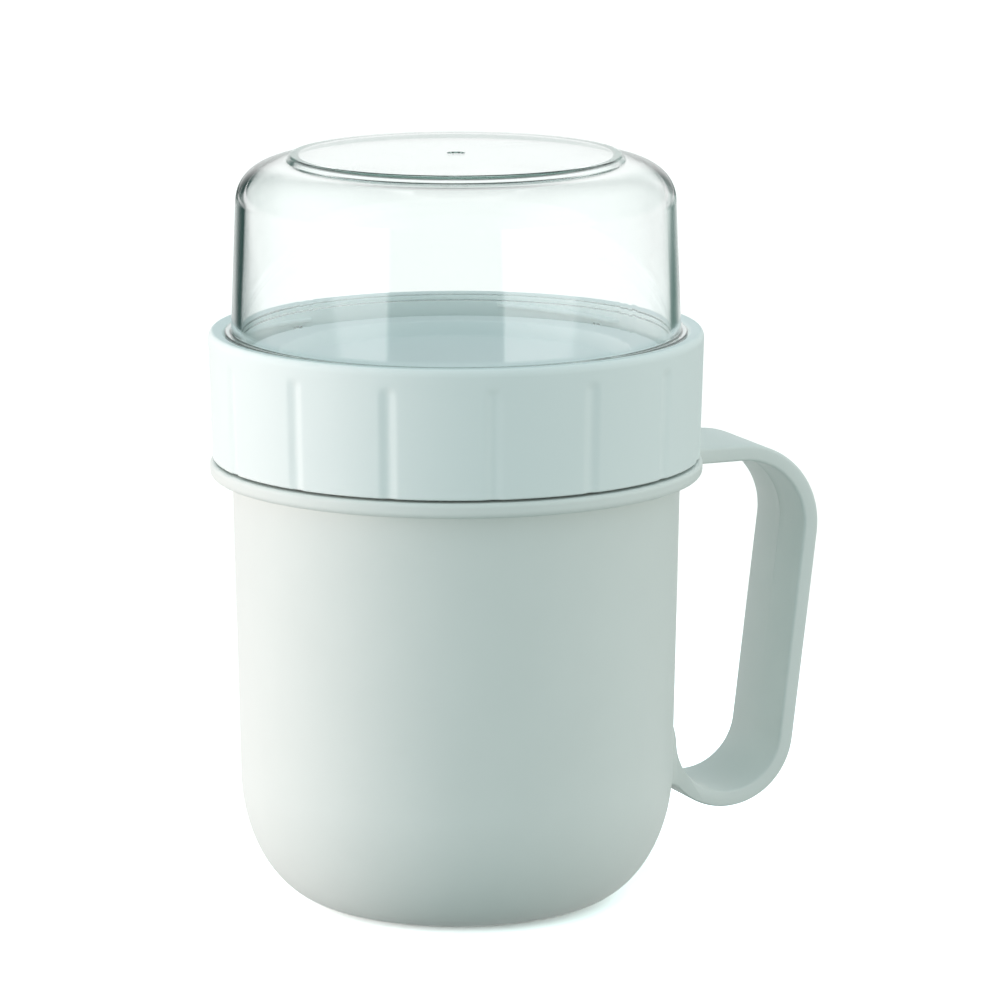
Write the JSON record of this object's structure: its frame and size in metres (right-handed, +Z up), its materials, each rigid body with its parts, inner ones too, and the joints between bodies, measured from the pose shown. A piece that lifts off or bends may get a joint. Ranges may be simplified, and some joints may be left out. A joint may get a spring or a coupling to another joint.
{
  "type": "two-compartment takeaway cup",
  "caption": "Moulded cup with a strap handle, a screw collar that closes it, and a clear dome that locks upside down into the collar as a second compartment.",
  "frame": {"origin": "centre of the flat base, on the surface the cup stands on", "axes": "+Z up along the cup's axis, +X towards the handle"},
  "size_m": [0.1266, 0.1002, 0.1532],
  "materials": {
    "cup_plastic": "satin moulded polypropylene, warm white",
    "collar_plastic": "smooth moulded polypropylene, cool white",
    "clear_plastic": "clear polished styrene acrylonitrile",
    "silicone": "soft matte silicone"
  },
  "bodies": {
    "cup": {"cup": "cup_plastic"},
    "cup_seal": {"cup_seal": "silicone"},
    "collar": {"screw_collar": "collar_plastic"},
    "dome_seal": {"dome_seal": "silicone"},
    "dome": {"clear_dome": "clear_plastic"}
  },
  "joints": [
    {"name": "collar_lift", "type": "slide", "parent": "cup", "child": "cup_seal", "axis": [0, 0, 1], "range_m": [0, 0.0161]},
    {"name": "collar_turn", "type": "hinge", "parent": "cup_seal", "child": "collar", "pos_m": [0, 0, 0.1], "axis": [0, 0, 1], "range_deg": [0, 360]},
    {"name": "dome_lift", "type": "slide", "parent": "collar", "child": "dome_seal", "axis": [0, 0, 1], "range_m": [0, 0.0061]},
    {"name": "dome_turn", "type": "hinge", "parent": "dome_seal", "child": "dome", "pos_m": [0, 0, 0.1135], "axis": [0, 0, 1], "range_deg": [0, 180]}
  ],
  "couplings": [
    {"joint": "collar_lift", "follows": "collar_turn", "m_per_rad": 0.0025465},
    {"joint": "dome_lift", "follows": "dome_turn", "m_per_rad": 0.0019099}
  ]
}
